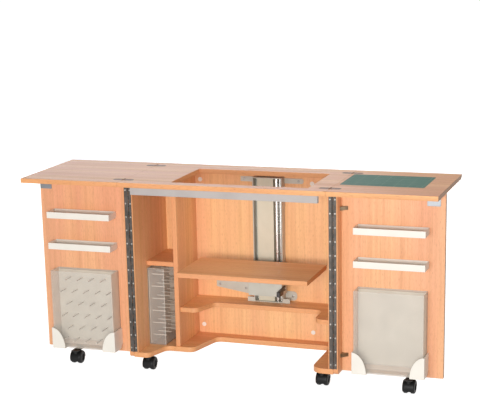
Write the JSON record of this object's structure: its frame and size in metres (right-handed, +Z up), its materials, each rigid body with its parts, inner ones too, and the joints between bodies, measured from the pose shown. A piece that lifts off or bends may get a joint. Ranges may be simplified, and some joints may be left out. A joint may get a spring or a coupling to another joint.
{
  "type": "sewing table",
  "caption": "Fold-out sewing cabinet on casters: hinged leaves, cut-out with machine lift, swing-out storage doors with trays and thread boxes, set-back shelves and knee space.",
  "frame": {"origin": "on the floor, under the middle of the open table", "axes": "+X to the sitter's right along the long side, +Y from the sitter's edge to the back, +Z up"},
  "size_m": [1.62, 0.45, 0.7723],
  "materials": {
    "beech_laminate": "satin beech laminate with fine straight grain and a matching edge band",
    "rail_paint": "satin light grey powder coat",
    "lift_paint": "satin beige-grey powder coat",
    "column_paint": "satin cream powder coat",
    "chromed_rod": "polished chrome plating",
    "hinge_steel": "dark nickel-plated rolled steel",
    "flap_brass": "antique brass plating, flush with the top",
    "plated_screw": "bright zinc plating",
    "white_plastic": "satin moulded white plastic",
    "cream_plastic": "satin moulded cream plastic",
    "clear_plastic": "clear moulded acrylic",
    "mat_green": "matte self-healing cutting mat with a light grid",
    "dark_fitting": "dark brown moulded connector",
    "lever_black": "black moulded lever",
    "catch_grey": "grey coated steel strike plate",
    "caster_steel": "zinc-plated caster plate",
    "caster_black": "black moulded nylon hood",
    "wheel_black": "black moulded nylon wheel"
  },
  "bodies": {
    "cabinet": {"left_side_panel": "beech_laminate", "right_side_panel": "beech_laminate", "divider_panel": "beech_laminate", "back_panel": "beech_laminate", "base_board": "beech_laminate", "knee_shelf": "beech_laminate", "magazine_shelf": "beech_laminate", "centre_worktop": "beech_laminate", "front_rail": "rail_paint", "cam_caps": "white_plastic", "side_thread_box": "clear_plastic", "side_thread_pegs": "cream_plastic", "lift_mast": "lift_paint", "lift_column": "column_paint", "lift_rods": "chromed_rod", "left_hinge_fixed_leaf": "hinge_steel", "right_hinge_fixed_leaf": "hinge_steel", "cabinet_screws": "plated_screw", "flap_hinge_plates": "flap_brass", "caster_plates": "caster_steel"},
    "left_leaf": {"left_leaf": "beech_laminate", "left_leaf_hinge_plates": "flap_brass"},
    "right_leaf": {"right_leaf": "beech_laminate", "right_leaf_hinge_plates": "flap_brass", "cutting_mat": "mat_green"},
    "platform": {"machine_platform": "beech_laminate", "lift_carriage": "lift_paint"},
    "release_lever": {"release_lever": "lever_black"},
    "left_door": {"left_door_panel": "beech_laminate", "left_door_spacer": "beech_laminate", "left_door_fittings": "dark_fitting", "left_strike_plate": "catch_grey", "left_hinge_moving_leaf": "hinge_steel", "left_door_screws": "plated_screw", "left_door_trays": "white_plastic", "left_box_holders": "white_plastic"},
    "right_door": {"right_door_panel": "beech_laminate", "right_door_spacer": "beech_laminate", "right_door_fittings": "dark_fitting", "right_strike_plate": "catch_grey", "right_hinge_moving_leaf": "hinge_steel", "right_door_screws": "plated_screw", "right_door_trays": "white_plastic", "right_box_holders": "white_plastic"},
    "left_thread_box": {"left_thread_box": "clear_plastic", "left_thread_pegs": "cream_plastic"},
    "right_accessory_box": {"right_accessory_box": "clear_plastic", "right_box_board": "cream_plastic"},
    "caster_front_left_fork": {"caster_front_left_hood": "caster_black"},
    "caster_front_left_wheels": {"caster_front_left_wheels": "wheel_black"},
    "caster_front_right_fork": {"caster_front_right_hood": "caster_black"},
    "caster_front_right_wheels": {"caster_front_right_wheels": "wheel_black"},
    "caster_rear_left_fork": {"caster_rear_left_hood": "caster_black"},
    "caster_rear_left_wheels": {"caster_rear_left_wheels": "wheel_black"},
    "caster_rear_right_fork": {"caster_rear_right_hood": "caster_black"},
    "caster_rear_right_wheels": {"caster_rear_right_wheels": "wheel_black"},
    "caster_door_left_fork": {"caster_door_left_hood": "caster_black"},
    "caster_door_left_wheels": {"caster_door_left_wheels": "wheel_black"},
    "caster_door_right_fork": {"caster_door_right_hood": "caster_black"},
    "caster_door_right_wheels": {"caster_door_right_wheels": "wheel_black"}
  },
  "joints": [
    {"name": "left_door_hinge", "type": "hinge", "parent": "cabinet", "child": "left_door", "pos_m": [-0.405, -0.135, 0.4], "axis": [0, 0, 1], "range_deg": [0, 180]},
    {"name": "right_door_hinge", "type": "hinge", "parent": "cabinet", "child": "right_door", "pos_m": [0.405, -0.135, 0.4], "axis": [0, 0, -1], "range_deg": [0, 180]},
    {"name": "left_leaf_hinge", "type": "hinge", "parent": "cabinet", "child": "left_leaf", "pos_m": [-0.405, 0, 0.7703], "axis": [0, 1, 0], "range_deg": [0, 180]},
    {"name": "right_leaf_hinge", "type": "hinge", "parent": "cabinet", "child": "right_leaf", "pos_m": [0.405, 0, 0.7703], "axis": [0, -1, 0], "range_deg": [0, 180]},
    {"name": "platform_lift", "type": "slide", "parent": "cabinet", "child": "platform", "axis": [0, 0, 1], "range_m": [0, 0.349]},
    {"name": "release_lever_pivot", "type": "hinge", "parent": "platform", "child": "release_lever", "pos_m": [0.13, 0.143, 0.302], "axis": [-1, 0, 0], "range_deg": [0, 20], "stiffness_Nm_per_rad": 1, "springref_deg": -20.05},
    {"name": "left_thread_box_lift", "type": "slide", "parent": "left_door", "child": "left_thread_box", "axis": [0, 0, 1], "range_m": [0, 0.084]},
    {"name": "right_accessory_box_lift", "type": "slide", "parent": "right_door", "child": "right_accessory_box", "axis": [0, 0, 1], "range_m": [0, 0.084]},
    {"name": "caster_front_left_swivel", "type": "hinge", "parent": "cabinet", "child": "caster_front_left_fork", "pos_m": [-0.355, -0.107, 0.05], "axis": [0, 0, 1], "continuous": true},
    {"name": "caster_front_left_roll", "type": "hinge", "parent": "caster_front_left_fork", "child": "caster_front_left_wheels", "pos_m": [-0.355, -0.095, 0.025], "axis": [1, 0, 0], "continuous": true},
    {"name": "caster_front_right_swivel", "type": "hinge", "parent": "cabinet", "child": "caster_front_right_fork", "pos_m": [0.355, -0.107, 0.05], "axis": [0, 0, 1], "continuous": true},
    {"name": "caster_front_right_roll", "type": "hinge", "parent": "caster_front_right_fork", "child": "caster_front_right_wheels", "pos_m": [0.355, -0.095, 0.025], "axis": [1, 0, 0], "continuous": true},
    {"name": "caster_rear_left_swivel", "type": "hinge", "parent": "cabinet", "child": "caster_rear_left_fork", "pos_m": [-0.355, 0.175, 0.05], "axis": [0, 0, 1], "continuous": true},
    {"name": "caster_rear_left_roll", "type": "hinge", "parent": "caster_rear_left_fork", "child": "caster_rear_left_wheels", "pos_m": [-0.355, 0.187, 0.025], "axis": [1, 0, 0], "continuous": true},
    {"name": "caster_rear_right_swivel", "type": "hinge", "parent": "cabinet", "child": "caster_rear_right_fork", "pos_m": [0.355, 0.175, 0.05], "axis": [0, 0, 1], "continuous": true},
    {"name": "caster_rear_right_roll", "type": "hinge", "parent": "caster_rear_right_fork", "child": "caster_rear_right_wheels", "pos_m": [0.355, 0.187, 0.025], "axis": [1, 0, 0], "continuous": true},
    {"name": "caster_door_left_swivel", "type": "hinge", "parent": "left_door", "child": "caster_door_left_fork", "pos_m": [-0.67, -0.11, 0.05], "axis": [0, 0, 1], "continuous": true},
    {"name": "caster_door_left_roll", "type": "hinge", "parent": "caster_door_left_fork", "child": "caster_door_left_wheels", "pos_m": [-0.67, -0.098, 0.025], "axis": [1, 0, 0], "continuous": true},
    {"name": "caster_door_right_swivel", "type": "hinge", "parent": "right_door", "child": "caster_door_right_fork", "pos_m": [0.688, -0.11, 0.05], "axis": [0, 0, 1], "continuous": true},
    {"name": "caster_door_right_roll", "type": "hinge", "parent": "caster_door_right_fork", "child": "caster_door_right_wheels", "pos_m": [0.688, -0.098, 0.025], "axis": [1, 0, 0], "continuous": true}
  ]
}
